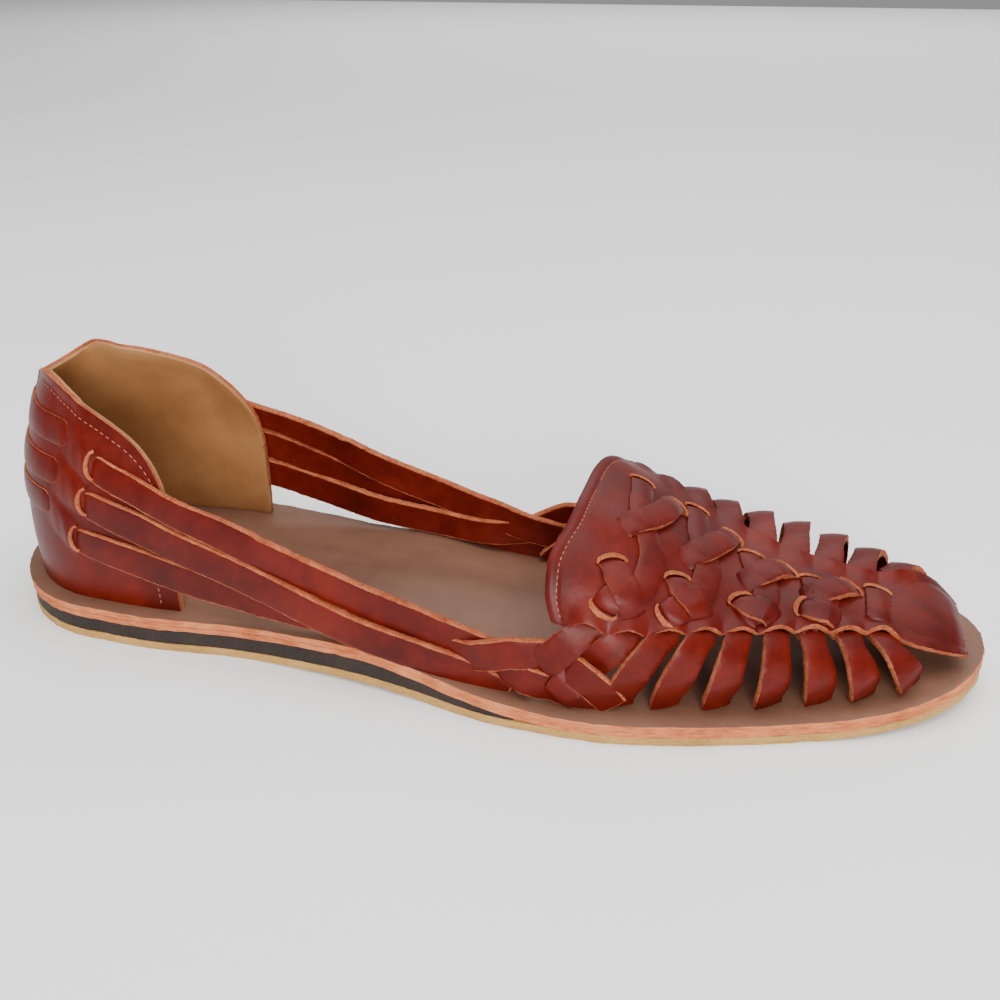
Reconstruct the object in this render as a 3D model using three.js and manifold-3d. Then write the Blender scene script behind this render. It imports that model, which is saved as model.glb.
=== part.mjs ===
// A woven leather slip-on sandal, right foot, in millimetres.
// +X points at the toe, +Y at the wearer's left (the inner, medial side), +Z up.
// Every station below is measured forward from the back of the heel; the finished group
// is then shifted so that its origin is the middle of its footprint on the ground.
import * as THREE from 'three';
import { mergeVertices } from 'three/addons/utils/BufferGeometryUtils.js';
import Module from 'manifold-3d';

const wasm = await Module();
wasm.setup();

// ---- driving dimensions -------------------------------------------------------------
const SOLE_LENGTH = 262;
const HEEL_ROUND = 32;            // length of the elliptical end at the heel
const TOE_ROUND = 60;             // length of the elliptical end at the toe
const END_FLAT = 0.1;             // share of the width left as a flat at each tip
const FIT_GAP = 0.3;              // clearance between pieces that meet

const CREPE_THICK = 2.2;
const INSOLE_THICK = 3.3;
const CREPE_INSET = 0.6;          // the crepe and wedge sit just inside the leather edge
const WEDGE_END = 152;            // where the wedge is feathered out
const WEDGE_RUNOUT = 10;          // the leather closes on the crepe over this length

const LEATHER = 2.0;              // wall of the plate and of every strap
const COUNTER_WALL = 2.8;         // counter leather and its lining together
const FOOT_INSET = 5.5;           // strap slots, in from the leather edge
const CROWN_POWER = 3.1;          // superellipse power of the cross-sections
const PLATE_END = 256.6;
const THROAT_X = 161.5;
const THROAT_SKEW = 7;            // the throat runs further forward on the inner side
const CROSS_STRAP_WIDTH = 7.6;
const SIDE_STRAP_WIDTH = 8.4;
const BRAID_STRAP_WIDTH = 7.0;
const EAR_X = 58.5;                 // front edge of the heel counter
const BAND_WIDTH = 6.6;
const BAND_THICK = 1.8;

// Half-widths of the insole either side of its centre line, before the ends are rounded.
const OUTLINE = [
  { x: 0, centre: 0, lateral: 33.5, medial: 31.5 },
  { x: 28, centre: 0, lateral: 34.3, medial: 32.3 },
  { x: 50, centre: 0, lateral: 35.5, medial: 34 },
  { x: 75, centre: 0, lateral: 34, medial: 31 },
  { x: 100, centre: 0, lateral: 36.5, medial: 25.5 },
  { x: 125, centre: 0.2, lateral: 40.7, medial: 24.3 },
  { x: 150, centre: 1, lateral: 46.5, medial: 30.5 },
  { x: 172, centre: 2, lateral: 48, medial: 38.5 },
  { x: 190, centre: 2.7, lateral: 45.7, medial: 40.3 },
  { x: 207, centre: 3.2, lateral: 41.8, medial: 40.2 },
  { x: 222, centre: 3.7, lateral: 39.6, medial: 40 },
  { x: 240, centre: 4.2, lateral: 39.6, medial: 39.4 },
  { x: 262, centre: 4.5, lateral: 41, medial: 37 },
];

// Underside of the sole: flat under heel and ball, arch between them, toe spring ahead.
const GROUND_LINE = [
  { x: 0, lift: 0.5 },
  { x: 8, lift: 0 },
  { x: 72, lift: 0 },
  { x: 110, lift: 1.2 },
  { x: 142, lift: 0 },
  { x: 214, lift: 0 },
  { x: 236, lift: 1.1 },
  { x: 250, lift: 2.7 },
  { x: 262, lift: 4.6 },
];

const WEDGE_LINE = [
  { x: 0, thick: 4 },
  { x: 60, thick: 4 },
  { x: 110, thick: 4.3 },
  { x: 132, thick: 2.6 },
  { x: WEDGE_END, thick: 0.6 },
];

// Height of the instep ridge above the ground, along the vamp.
const RIDGE = [
  { x: 130, height: 50 },
  { x: 160, height: 48 },
  { x: 170, height: 44.2 },
  { x: 180, height: 39 },
  { x: 190, height: 34 },
  { x: 200, height: 30 },
  { x: 220, height: 25.3 },
  { x: 235, height: 21.6 },
  { x: 247, height: 19 },
  { x: 253, height: 16.8 },
  { x: 257, height: 13.4 },
  { x: 262, height: 11.5 },
];

// Where the plate's two long edges lie, as a share of the way from ridge (0) to foot (1).
// The plate sits towards the outer side, so the inner side's straps are the longer ones.
const PLATE_EDGE = [
  { x: 158, lateral: 0.72, medial: 0.47 },
  { x: 168, lateral: 0.73, medial: 0.42 },
  { x: 177, lateral: 0.7, medial: 0.34 },
  { x: 185, lateral: 0.64, medial: 0.23 },
  { x: 193, lateral: 0.57, medial: 0.15 },
  { x: 202, lateral: 0.52, medial: 0.085 },
  { x: 210, lateral: 0.475, medial: 0.05 },
  { x: 218, lateral: 0.44, medial: 0.04 },
  { x: 227, lateral: 0.39, medial: 0.05 },
  { x: 235, lateral: 0.33, medial: 0.08 },
  { x: 243, lateral: 0.5, medial: 0.22 },
  { x: 250, lateral: 0.68, medial: 0.5 },
  { x: 257, lateral: 0.8, medial: 0.76 },
];

// The nine cross straps of each side: where each leaves the plate and where it stands.
const CROSS_STRAPS = [
  { lateralTop: 168, lateralFoot: 153, medialTop: 170, medialFoot: 157 },
  { lateralTop: 177, lateralFoot: 164, medialTop: 179, medialFoot: 167 },
  { lateralTop: 186, lateralFoot: 176, medialTop: 188, medialFoot: 179 },
  { lateralTop: 194, lateralFoot: 187, medialTop: 197, medialFoot: 190.5 },
  { lateralTop: 202, lateralFoot: 199, medialTop: 205.5, medialFoot: 203.5 },
  { lateralTop: 210, lateralFoot: 211, medialTop: 214, medialFoot: 216 },
  { lateralTop: 218, lateralFoot: 222, medialTop: 222.5, medialFoot: 227.5 },
  { lateralTop: 226, lateralFoot: 233, medialTop: 231, medialFoot: 239 },
  { lateralTop: 234, lateralFoot: 244, medialTop: 239.5, medialFoot: 249 },
];

// The three side straps, from the counter's slots to the braid at the plate's rear corner:
// the height of the strap's middle, and how far it stands out from the side line.
const SIDE_STRAPS = [
  [
    { x: 38, height: 47, out: 0 },
    { x: 60, height: 41.5, out: 0 },
    { x: 110, height: 25.8, out: 0 },
    { x: 144, height: 15.6, out: 0 },
    { x: 170, height: 11, out: 0 },
  ],
  [
    { x: 36, height: 37.6, out: 0 },
    { x: 60, height: 31.6, out: 0 },
    { x: 110, height: 17.8, out: 0.6 },
    { x: 150, height: 11.6, out: 0.6 },
  ],
  [
    { x: 33, height: 27.6, out: 0 },
    { x: 60, height: 22.4, out: -0.2 },
    { x: 110, height: 16.6, out: -1.6 },
    { x: 136, height: 16.4, out: 0.4 },
    { x: 150, height: 19, out: 1 },
    { x: 168, height: 13, out: 0 },
  ],
];

// Side line of the side straps, measured inward from the leather edge.
const SIDE_LINE = [
  { x: 30, lateral: 4.2, medial: 4.2 },
  { x: 60, lateral: 2, medial: 2.4 },
  { x: 86, lateral: 0.3, medial: 0.2 },
  { x: 110, lateral: 0.7, medial: -1.4 },
  { x: 128, lateral: 2.4, medial: 0.6 },
  { x: 144, lateral: 4.6, medial: 3.8 },
  { x: 180, lateral: 5.5, medial: 5.5 },
];

// Heel counter: its top line, and how far its outer face stands in from the leather edge
// at each height above the insole, on the sides and at the very back.
const COUNTER_TOP = [
  { x: 0, height: 52.4 },
  { x: 3, height: 55 },
  { x: 8, height: 56.8 },
  { x: 13, height: 56.5 },
  { x: 20, height: 55.2 },
  { x: 28, height: 53.9 },
  { x: 34, height: 52.3 },
  { x: 42, height: 49.2 },
  { x: 46, height: 47 },
  { x: 50, height: 43.8 },
  { x: 53, height: 40.4 },
  { x: 56, height: 35.5 },
  { x: EAR_X, height: 25 },
];
const COUNTER_FACE = [
  { height: 0, side: 4.6, back: 2.8 },
  { height: 14, side: 4, back: 1.9 },
  { height: 28, side: 4.4, back: 2.2 },
  { height: 40, side: 7, back: 4.2 },
  { height: 55, side: 11.2, back: 8 },
];
// How much narrower the counter is at its rim, which comes to a soft point at the back.
const COUNTER_PINCH = [
  { x: 0, lateral: 0, medial: 0 },
  { x: 2, lateral: 3.4, medial: -0.5 },
  { x: 8, lateral: 4.6, medial: 1.5 },
  { x: 18, lateral: 5, medial: 3.4 },
  { x: 27, lateral: 3.8, medial: 2.6 },
  { x: 36, lateral: 1.9, medial: 1.2 },
  { x: 43, lateral: 1.5, medial: 0.6 },
  { x: 50, lateral: 2.6, medial: 2 },
  { x: EAR_X, lateral: 3.2, medial: 3 },
];
const PINCH_HEIGHT = 52;

const HEEL_BANDS = [
  { name: 'heel_band_top', height: 44.8, reach: 28.5 },
  { name: 'heel_band_middle', height: 35, reach: 25 },
  { name: 'heel_band_low', height: 26.2, reach: 21.5 },
];

// ---- small tools --------------------------------------------------------------------

// Smooth curve through one column of a table: cubic pieces that never overshoot a row.
function track(rows, column, key = 'x') {
  const knots = rows.map((row) => row[key]);
  const values = rows.map((row) => row[column]);
  const last = rows.length - 1;
  const chord = (i) => (values[i + 1] - values[i]) / (knots[i + 1] - knots[i]);
  const slopes = values.map((_, i) => {
    if (i === 0) return chord(0);
    if (i === last) return chord(last - 1);
    const before = chord(i - 1);
    const after = chord(i);
    return before * after <= 0 ? 0 : (2 * before * after) / (before + after);
  });
  return (at) => {
    const place = THREE.MathUtils.clamp(at, knots[0], knots[last]);
    let i = 0;
    while (i < last - 1 && place > knots[i + 1]) i += 1;
    const span = knots[i + 1] - knots[i];
    const t = (place - knots[i]) / span;
    const rise = values[i] * (1 + 2 * t) * (1 - t) ** 2 + values[i + 1] * t * t * (3 - 2 * t);
    return rise + span * (slopes[i] * t * (1 - t) ** 2 - slopes[i + 1] * t * t * (1 - t));
  };
}

// A block of unit size, divided into cells, with every corner moved by `place(u, v, w)`.
function bentSlab(cellsU, cellsV, place) {
  const block = new THREE.BoxGeometry(1, 1, 1, cellsU, cellsV, 1);
  block.deleteAttribute('normal');
  block.deleteAttribute('uv');
  const slab = mergeVertices(block);
  const corners = slab.getAttribute('position');
  for (let i = 0; i < corners.count; i += 1) {
    const moved = place(corners.getX(i) + 0.5, corners.getY(i) + 0.5, corners.getZ(i) + 0.5);
    corners.setXYZ(i, moved.x, moved.y, moved.z);
  }
  return slab;
}

function signedVolume(geometry) {
  const corners = geometry.getAttribute('position');
  const index = geometry.getIndex().array;
  const [a, b, c] = [new THREE.Vector3(), new THREE.Vector3(), new THREE.Vector3()];
  let volume = 0;
  for (let i = 0; i < index.length; i += 3) {
    a.fromBufferAttribute(corners, index[i]);
    b.fromBufferAttribute(corners, index[i + 1]);
    c.fromBufferAttribute(corners, index[i + 2]);
    volume += a.dot(b.cross(c)) / 6;
  }
  return volume;
}

// A slab whose mapping mirrors it comes out inside out, so its triangles are turned.
function facingOut(geometry) {
  if (signedVolume(geometry) < 0) {
    const index = geometry.getIndex().array;
    for (let i = 0; i < index.length; i += 3) {
      [index[i], index[i + 1]] = [index[i + 1], index[i]];
    }
  }
  return geometry;
}

function toSolid(geometry) {
  const ready = facingOut(geometry);
  return new wasm.Manifold(new wasm.Mesh({
    numProp: 3,
    vertProperties: Float32Array.from(ready.getAttribute('position').array),
    triVerts: Uint32Array.from(ready.getIndex().array),
  }));
}

function toGeometry(solid) {
  const mesh = solid.getMesh();
  const geometry = new THREE.BufferGeometry();
  geometry.setAttribute('position', new THREE.BufferAttribute(mesh.vertProperties, 3));
  geometry.setIndex(new THREE.BufferAttribute(mesh.triVerts, 1));
  return geometry;
}

// ---- the last: outline, heights and the vamp's surface ------------------------------
const centreLine = track(OUTLINE, 'centre');
const lateralHalf = track(OUTLINE, 'lateral');
const medialHalf = track(OUTLINE, 'medial');
const groundLift = track(GROUND_LINE, 'lift');
const wedgeThick = track(WEDGE_LINE, 'thick');
const ridgeHeight = track(RIDGE, 'height');
const sideInset = { '-1': track(SIDE_LINE, 'lateral'), 1: track(SIDE_LINE, 'medial') };

// 1 along the sole, falling to END_FLAT at its two rounded tips.
function endRound(x) {
  const heel = 1 - Math.min(x / HEEL_ROUND, 1);
  const toe = 1 - Math.min((SOLE_LENGTH - x) / TOE_ROUND, 1);
  return Math.max(END_FLAT, Math.sqrt(Math.max(0, 1 - heel * heel - toe * toe)));
}

// Leather edge at station x; side -1 is lateral (outer) and +1 is medial (inner).
function edgeY(x, side) {
  const half = side < 0 ? lateralHalf(x) : medialHalf(x);
  return centreLine(x) + side * half * endRound(x);
}

function wedgeRoom(x) {
  if (x <= WEDGE_END) return wedgeThick(x) + FIT_GAP;
  const left = 1 - Math.min((x - WEDGE_END) / WEDGE_RUNOUT, 1);
  return (wedgeThick(WEDGE_END) + FIT_GAP) * left;
}

const crepeTop = (x) => groundLift(x) + CREPE_THICK;
const insoleBase = (x) => crepeTop(x) + FIT_GAP + wedgeRoom(x);
const insoleTop = (x) => insoleBase(x) + INSOLE_THICK;

// Stations crowd towards the tips, so that the round ends stay round.
const crowded = (u) => (1 - Math.cos(Math.PI * u)) / 2;

// Point on the foot's surface at station x; across runs from -1 at the lateral foot line
// through 0 at the ridge to +1 at the medial foot line.
function lastPoint(x, across) {
  const angle = (across * Math.PI) / 2;
  const lateral = edgeY(x, -1) + FOOT_INSET;
  const medial = edgeY(x, 1) - FOOT_INSET;
  const middle = (lateral + medial) / 2;
  const half = (medial - lateral) / 2;
  const floor = insoleTop(x) + FIT_GAP;
  const outward = Math.sign(angle) * Math.abs(Math.sin(angle)) ** (2 / CROWN_POWER);
  const upward = Math.max(0, Math.cos(angle)) ** (2 / CROWN_POWER);
  return new THREE.Vector3(x, middle + half * outward, floor + (ridgeHeight(x) - floor) * upward);
}

function lastNormal(x, across) {
  const step = 0.01;
  const inside = THREE.MathUtils.clamp(across, -1 + step, 1 - step);
  const along = lastPoint(x + step, inside).sub(lastPoint(x - step, inside));
  const around = lastPoint(x, inside + step).sub(lastPoint(x, inside - step));
  return along.cross(around).normalize();
}

// A point standing `proud` of the foot's surface.
function offLast(x, across, proud) {
  return lastPoint(x, across).addScaledVector(lastNormal(x, across), proud);
}

// ---- sole ---------------------------------------------------------------------------
function soleLayer(from, to, cells, inset, bottom, top) {
  return bentSlab(cells, 2, (u, v, w) => {
    const x = from + (to - from) * crowded(u);
    const lateral = edgeY(x, -1) + inset;
    const medial = edgeY(x, 1) - inset;
    const z = w < 0.5 ? bottom(x) : top(x);
    const tipInset = THREE.MathUtils.clamp(x, from + inset, to - (to === SOLE_LENGTH ? inset : 0));
    return new THREE.Vector3(tipInset, lateral + (medial - lateral) * v, z);
  });
}

function crepeOutsole() {
  return soleLayer(0, SOLE_LENGTH, 46, CREPE_INSET, groundLift, crepeTop);
}

function heelWedge() {
  const base = (x) => crepeTop(x) + FIT_GAP;
  return soleLayer(0, WEDGE_END, 34, CREPE_INSET, base, (x) => base(x) + wedgeThick(x));
}

function insole() {
  return soleLayer(0, SOLE_LENGTH, 46, 0, insoleBase, insoleTop);
}

// ---- heel counter and the bands round its back ---------------------------------------
const counterHeight = track(COUNTER_TOP, 'height');
const counterSide = track(COUNTER_FACE, 'side', 'height');
const counterBack = track(COUNTER_FACE, 'back', 'height');
const counterPinch = { '-1': track(COUNTER_PINCH, 'lateral'), 1: track(COUNTER_PINCH, 'medial') };

// The counter's outer face. `turn` runs from -1 at the lateral ear through 0 at the back
// to +1 at the medial ear, `reach` is the station of its ears, `height` is above the insole.
function counterPoint(turn, reach, height, proud) {
  const side = Math.sign(turn) || 1;
  const x = reach * (1 - Math.cos((Math.abs(turn) * Math.PI) / 2));
  const edge = new THREE.Vector2(x, Math.abs(turn) < 1e-6 ? 0 : edgeY(Math.max(x, 0), side) * heelClose(x));
  const sideways = Math.sqrt(1 - (1 - Math.min(x / HEEL_ROUND, 1)) ** 2);
  const inset = THREE.MathUtils.lerp(counterBack(height), counterSide(height), sideways) - proud;
  const inward = new THREE.Vector2(Math.sqrt(1 - sideways ** 2), -side * sideways);
  const place = edge.addScaledVector(inward, inset);
  const pinch = counterPinch[side](x) * (Math.min(height, PINCH_HEIGHT) / PINCH_HEIGHT) ** 2;
  return new THREE.Vector3(place.x, place.y - side * pinch, insoleTop(x) + FIT_GAP + height);
}

// Takes the outline's small flat at the heel tip down to a point.
function heelClose(x) {
  const heel = 1 - Math.min(x / HEEL_ROUND, 1);
  return Math.sqrt(Math.max(0, 1 - heel * heel)) / endRound(x);
}

function counterShell(grown) {
  return bentSlab(36, 7, (u, v, w) => {
    const turn = 2 * u - 1;
    const reach = EAR_X + grown;
    const x = reach * (1 - Math.cos((Math.abs(turn) * Math.PI) / 2));
    const height = v * (counterHeight(Math.min(x, EAR_X)) + grown);
    const proud = w < 0.5 ? -COUNTER_WALL - grown : grown;
    return counterPoint(turn, reach, height, proud);
  });
}

function heelBand(band) {
  return bentSlab(22, 1, (u, v, w) => {
    const proud = FIT_GAP + (w < 0.5 ? 0 : BAND_THICK);
    return counterPoint(2 * u - 1, band.reach, band.height + (v - 0.5) * BAND_WIDTH, proud);
  });
}

// ---- upper: plate, cross straps and side straps, one wall -----------------------------
const plateEdge = { '-1': track(PLATE_EDGE, 'lateral'), 1: track(PLATE_EDGE, 'medial') };

function vampPlate() {
  return bentSlab(26, 14, (u, v, w) => {
    const lean = 2 * v - 1;
    const throat = THROAT_X + THROAT_SKEW * lean * plateEdge[1](THROAT_X);
    const x = throat + (PLATE_END - throat) * u;
    const across = lean * plateEdge[lean < 0 ? -1 : 1](x);
    return offLast(x, across, (w - 0.5) * LEATHER);
  });
}

// A cross strap lies on the foot's surface, from inside the plate's edge to the insole.
function crossStrap(top, foot, side) {
  return bentSlab(6, 1, (u, v, w) => {
    const start = plateEdge[side](top) - 0.08;
    const across = start + (1 - start) * u;
    const drop = (across - start) / (1 - start);
    const middle = top + (foot - top) * drop;
    const x = middle + (v - 0.5) * CROSS_STRAP_WIDTH;
    return offLast(x, side * across, (w - 0.5) * LEATHER);
  });
}

// A side strap stands on edge along the side line, from the counter to the braid.
function sideStrap(rows, side) {
  const height = track(rows, 'height');
  const out = track(rows, 'out');
  const start = rows[0].x;
  const end = rows[rows.length - 1].x;
  return bentSlab(18, 1, (u, v, w) => {
    const x = start + (end - start) * u;
    const width = THREE.MathUtils.lerp(SIDE_STRAP_WIDTH, BRAID_STRAP_WIDTH, u);
    const depth = sideInset[side](x) - out(x) - w * LEATHER;
    const z = Math.max(height(x) + (v - 0.5) * width, insoleTop(x) + FIT_GAP);
    const lean = Math.max(0, z - 34) * 0.16;
    return new THREE.Vector3(x, edgeY(x, side) - side * (depth + lean), z);
  });
}

function upper() {
  let solid = toSolid(vampPlate());
  for (const side of [-1, 1]) {
    const sideName = side < 0 ? 'lateral' : 'medial';
    for (const strap of CROSS_STRAPS) {
      solid = solid.add(toSolid(crossStrap(strap[`${sideName}Top`], strap[`${sideName}Foot`], side)));
    }
    for (const rows of SIDE_STRAPS) {
      solid = solid.add(toSolid(sideStrap(rows, side)));
    }
  }
  return toGeometry(solid.subtract(toSolid(counterShell(FIT_GAP))));
}

// ---- materials and assembly -----------------------------------------------------------
const BRANDY_LEATHER = { color: 0x8a2a1c, roughness: 0.38, metalness: 0 };
const FOOTBED_LEATHER = { color: 0x8d6a55, roughness: 0.7, metalness: 0 };
const DARK_RUBBER = { color: 0x2e2620, roughness: 0.85, metalness: 0 };
const GUM_CREPE = { color: 0xb9a06a, roughness: 0.9, metalness: 0 };

const PIECES = [
  { name: 'crepe_outsole', geometry: facingOut(crepeOutsole()), finish: GUM_CREPE },
  { name: 'heel_wedge', geometry: facingOut(heelWedge()), finish: DARK_RUBBER },
  { name: 'insole', geometry: facingOut(insole()), finish: FOOTBED_LEATHER },
  { name: 'heel_counter', geometry: facingOut(counterShell(0)), finish: BRANDY_LEATHER },
  { name: 'upper', geometry: upper(), finish: BRANDY_LEATHER },
];
for (const band of HEEL_BANDS) {
  PIECES.push({ name: band.name, geometry: facingOut(heelBand(band)), finish: BRANDY_LEATHER });
}

const sandal = new THREE.Group();
for (const piece of PIECES) {
  const mesh = new THREE.Mesh(piece.geometry, new THREE.MeshStandardMaterial(piece.finish));
  mesh.name = piece.name;
  sandal.add(mesh);
}

const footprint = new THREE.Box3().setFromObject(sandal);
const middle = footprint.getCenter(new THREE.Vector3());
sandal.position.set(-middle.x, -middle.y, -footprint.min.z);

export default sandal;
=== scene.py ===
import math
import bpy
from mathutils import Matrix, Vector, noise


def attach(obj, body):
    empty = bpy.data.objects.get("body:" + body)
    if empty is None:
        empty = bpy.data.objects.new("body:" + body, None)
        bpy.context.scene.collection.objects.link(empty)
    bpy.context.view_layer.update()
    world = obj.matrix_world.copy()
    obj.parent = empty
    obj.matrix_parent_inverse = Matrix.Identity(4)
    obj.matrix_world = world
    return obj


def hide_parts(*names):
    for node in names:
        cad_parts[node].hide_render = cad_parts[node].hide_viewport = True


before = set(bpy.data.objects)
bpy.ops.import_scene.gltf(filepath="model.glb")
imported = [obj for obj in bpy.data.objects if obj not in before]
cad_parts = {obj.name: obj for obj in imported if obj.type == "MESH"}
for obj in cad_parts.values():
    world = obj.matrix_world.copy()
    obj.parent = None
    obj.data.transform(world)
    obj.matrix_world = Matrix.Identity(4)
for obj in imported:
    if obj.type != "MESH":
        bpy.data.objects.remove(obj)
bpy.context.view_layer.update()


# ---- crepe outsole ---------------------------------------------------------------------
# A full-length sheet of gum crepe rubber under everything else, cut to the outline of the
# sole and cemented on. Its cut edge is pale, dull and finely wrinkled, and its underside
# is flat below the heel and the ball and springs up at the toe.
MM = 0.001
TO_FRAME = Vector((-130.966, 1.424, 0.0))
SOLE_LENGTH = 262.0
HEEL_ROUND = 32.0
TOE_ROUND = 60.0
TIP_SHARE = 0.1
CREPE_THICK = 2.2
CREPE_INSET = 0.6
SOLE_ALONG = 150
SOLE_ACROSS = 16


def track(*rows):
    """A smooth curve through (at, value) rows that never overshoots a row."""
    last = len(rows) - 1
    chords = []
    for i in range(last):
        chords.append((rows[i + 1][1] - rows[i][1]) / (rows[i + 1][0] - rows[i][0]))
    slopes = [chords[0]]
    for i in range(1, last):
        product = chords[i - 1] * chords[i]
        slopes.append(2 * product / (chords[i - 1] + chords[i]) if product > 0 else 0.0)
    slopes.append(chords[-1])

    def value(at):
        place = min(max(at, rows[0][0]), rows[last][0])
        i = 0
        while i < last - 1 and place > rows[i + 1][0]:
            i += 1
        span = rows[i + 1][0] - rows[i][0]
        t = (place - rows[i][0]) / span
        level = rows[i][1] * (1 + 2 * t) * (1 - t) ** 2 + rows[i + 1][1] * t * t * (3 - 2 * t)
        return level + span * (slopes[i] * t * (1 - t) ** 2 - slopes[i + 1] * t * t * (1 - t))

    return value


centre_line = track((0, 0), (100, 0), (125, 0.2), (150, 1), (172, 2), (190, 2.7), (207, 3.2),
                    (222, 3.7), (240, 4.2), (262, 4.5))
lateral_half = track((0, 33.5), (28, 34.3), (50, 35.5), (75, 34), (100, 36.5), (125, 40.7),
                     (150, 46.5), (172, 48), (190, 45.7), (207, 41.8), (222, 39.6),
                     (240, 39.6), (262, 41))
medial_half = track((0, 31.5), (28, 32.3), (50, 34), (75, 31), (100, 25.5), (125, 24.3),
                    (150, 30.5), (172, 38.5), (190, 40.3), (207, 40.2), (222, 40),
                    (240, 39.4), (262, 37))
ground_lift = track((0, 0.5), (8, 0), (72, 0), (110, 1.2), (142, 0), (214, 0), (236, 1.1),
                    (250, 2.7), (262, 4.6))


def end_round(x):
    """1 along the sole, falling to a tenth at its two rounded tips."""
    heel = 1 - min(x / HEEL_ROUND, 1)
    toe = 1 - min((SOLE_LENGTH - x) / TOE_ROUND, 1)
    return max(TIP_SHARE, math.sqrt(max(0.0, 1 - heel * heel - toe * toe)))


def edge_y(x, side):
    """The leather edge at station x; side -1 is the outer side and +1 the inner side."""
    half = lateral_half(x) if side < 0 else medial_half(x)
    return centre_line(x) + side * half * end_round(x)


def crepe_top(x):
    return ground_lift(x) + CREPE_THICK


BEVEL_OVER = math.radians(55)
SMOOTH_UNDER = math.radians(48)


def bent_grid(name, along, across, place):
    """A grid whose every corner is laid at place(u, v), given in millimetres from the heel."""
    bpy.ops.object.select_all(action="DESELECT")
    bpy.ops.mesh.primitive_grid_add(x_subdivisions=along, y_subdivisions=across, size=2)
    sheet = bpy.context.object
    sheet.name = name
    for corner in sheet.data.vertices:
        at = place((corner.co.x + 1) / 2, (corner.co.y + 1) / 2)
        corner.co = (at + TO_FRAME) * MM
    sheet.data.update()
    return sheet


def give_wall(sheet, finishes, thick, rounding):
    """Thickness away from the faces: finishes are those of the face, the back and the cut edge."""
    for finish in finishes:
        sheet.data.materials.append(finish)
    wall = sheet.modifiers.new("wall", "SOLIDIFY")
    wall.thickness = thick * MM
    wall.offset = -1
    wall.material_offset = 1
    wall.material_offset_rim = 2
    edge = sheet.modifiers.new("edge", "BEVEL")
    edge.width = rounding * MM
    edge.segments = 2
    edge.limit_method = "ANGLE"
    edge.angle_limit = BEVEL_OVER
    edge.material = 2
    bpy.ops.object.select_all(action="DESELECT")
    sheet.select_set(True)
    bpy.context.view_layer.objects.active = sheet
    bpy.ops.object.modifier_apply(modifier="wall")
    bpy.ops.object.modifier_apply(modifier="edge")


# The cut edges come out with the same unevenness every time that the sandal is made.
FRAY_SEED = 11
noise.seed_set(FRAY_SEED)


def fray_edge(piece, depth, pitch):
    """Makes a cut edge uneven, by moving the corners of the faces that have the third finish."""
    cut = set()
    for face in piece.data.polygons:
        if face.material_index == 2:
            cut.update(face.vertices)
    for i in sorted(cut):
        corner = piece.data.vertices[i]
        corner.co += noise.noise_vector(corner.co / (pitch * MM)) * depth * MM
        corner.co.z = max(corner.co.z, 0.0)


def settle(piece, slot, *nodes):
    """Smooths a finished piece and hands it to the frame."""
    bpy.ops.object.select_all(action="DESELECT")
    piece.select_set(True)
    bpy.context.view_layer.objects.active = piece
    bpy.ops.object.shade_smooth_by_angle(angle=SMOOTH_UNDER)
    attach(piece, "root")
    if nodes:
        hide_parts(*nodes)


def sole_sheet(name, start, end, inset, top):
    """The upper face of one layer of the sole, with its stations crowded at the tips."""
    def place(u, v):
        rear = start + inset
        front = end - (inset if end == SOLE_LENGTH else 0)
        x = rear + (front - rear) * (1 - math.cos(math.pi * u)) / 2
        lateral = edge_y(x, -1) + inset
        medial = edge_y(x, 1) - inset
        return Vector((x, lateral + (medial - lateral) * v, top(x)))
    return bent_grid(name, SOLE_ALONG, SOLE_ACROSS, place)


class Shade:
    """A node's output that adds Math nodes when it is used in an expression."""

    def __init__(self, tree, socket=None):
        self.tree = tree
        self.socket = socket

    def node(self, kind, settings, sockets, output=0):
        made = self.tree.nodes.new(kind)
        for name, value in settings.items():
            if name == "stops":
                while len(made.color_ramp.elements) < len(value):
                    made.color_ramp.elements.new(1.0)
                for stop, (place, colour) in zip(made.color_ramp.elements, value):
                    stop.position = place
                    stop.color = (*colour, 1.0)
            else:
                setattr(made, name, value)
        for name, value in sockets.items():
            if isinstance(value, Shade):
                self.tree.links.new(value.socket, made.inputs[name])
            else:
                made.inputs[name].default_value = value
        return Shade(self.tree, made.outputs[output])

    def maths(self, operation, first, second):
        return self.node("ShaderNodeMath", {"operation": operation}, {0: first, 1: second})

    def __add__(self, other):
        return self.maths("ADD", self, other)

    def __radd__(self, other):
        return self.maths("ADD", other, self)

    def __mul__(self, other):
        return self.maths("MULTIPLY", self, other)

    def __rmul__(self, other):
        return self.maths("MULTIPLY", other, self)

    def grain(self, scale, detail=3.0, rough=0.55):
        """Soft uneven pattern with a feature about 1 / scale metres across."""
        sockets = {"Vector": self, "Scale": scale, "Detail": detail, "Roughness": rough}
        return self.node("ShaderNodeTexNoise", {}, sockets, "Fac")

    def stretched(self, x, y, z):
        return self.node("ShaderNodeMapping", {}, {"Vector": self, "Scale": (x, y, z)})

    def ramp(self, *stops):
        return self.node("ShaderNodeValToRGB", {"stops": stops}, {"Fac": self}, "Color")


def new_finish(name, gloss=0.5):
    """A new material with its surface shader and its place on the object."""
    made = bpy.data.materials.new(name)
    made.use_nodes = True
    surface = made.node_tree.nodes["Principled BSDF"]
    surface.inputs["Specular IOR Level"].default_value = gloss
    place = Shade(made.node_tree).node("ShaderNodeTexCoord", {}, {}, "Object")
    return made, surface, place


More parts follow.
